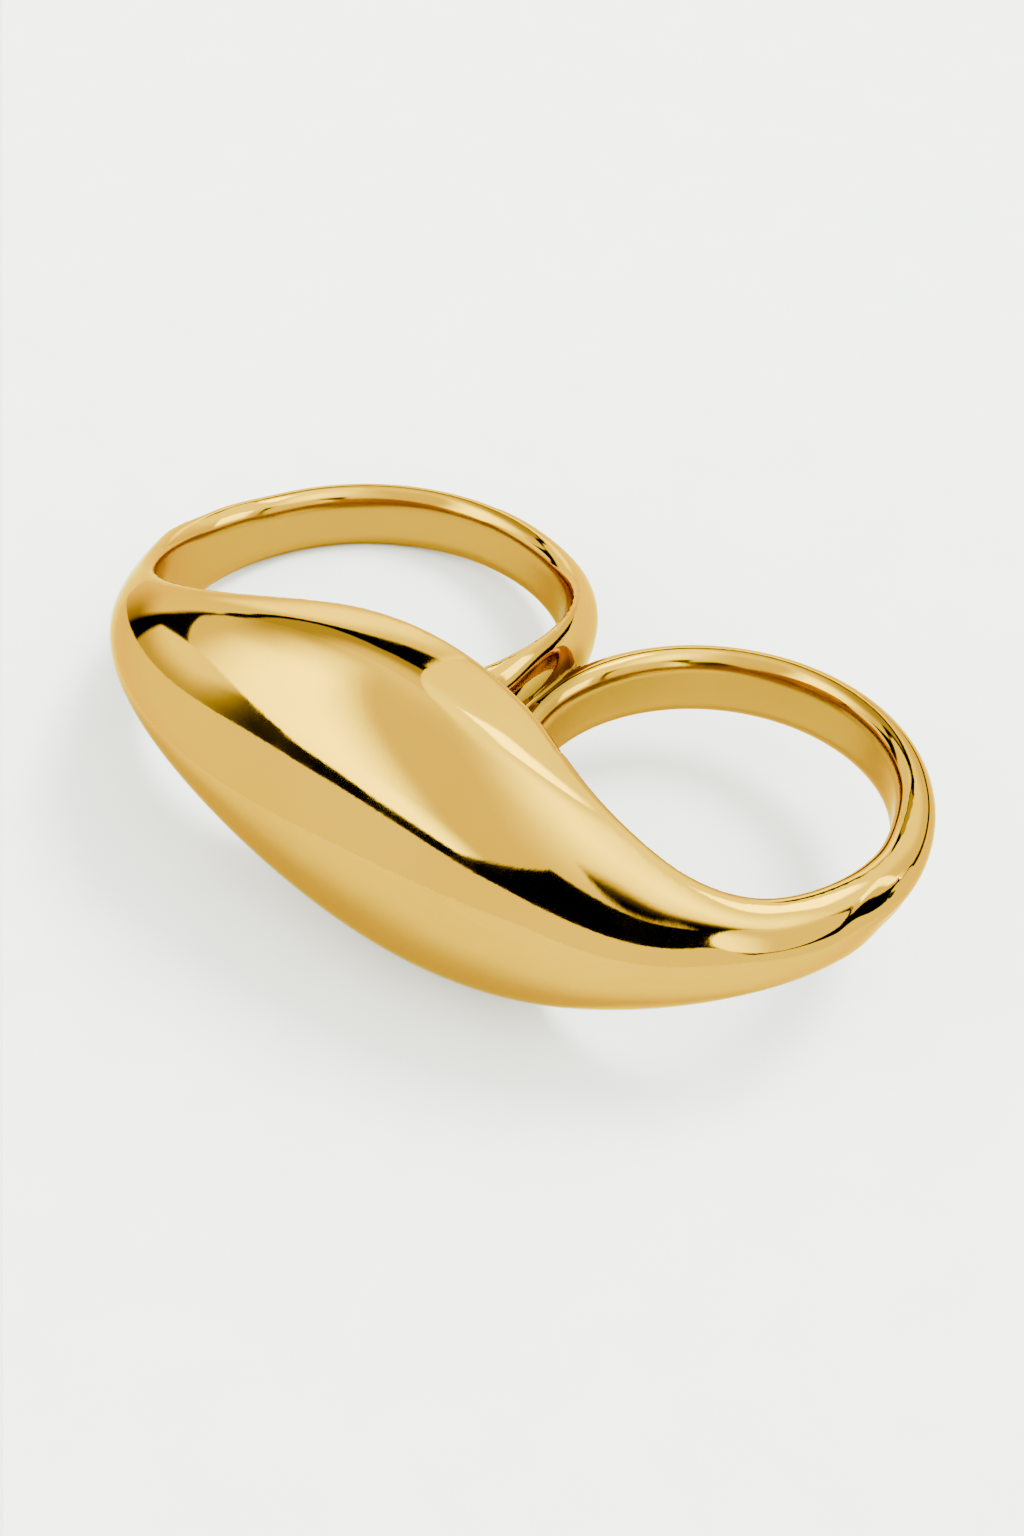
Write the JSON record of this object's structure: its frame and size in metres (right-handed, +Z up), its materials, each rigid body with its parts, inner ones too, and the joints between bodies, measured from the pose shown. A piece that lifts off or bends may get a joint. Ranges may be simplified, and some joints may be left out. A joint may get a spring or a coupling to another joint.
{
  "type": "double finger ring",
  "caption": "Ring with two side-by-side finger bands and one long, smooth, swelling dome across their fronts, cast in one polished piece.",
  "frame": {"origin": "on the table, under the centre of the lying ring's bounding box", "axes": "+X along the pair of bands toward the smaller finger hole, -Y toward the dome's front, +Z up from the table; the ring lies on its side and the axis of the finger holes leans 12 degrees from +Z"},
  "size_m": [0.039, 0.0242, 0.0145],
  "materials": {
    "gold": "mirror-polished yellow gold plating on cast brass"
  },
  "bodies": {
    "root": {"ring": "gold"}
  },
  "joints": []
}
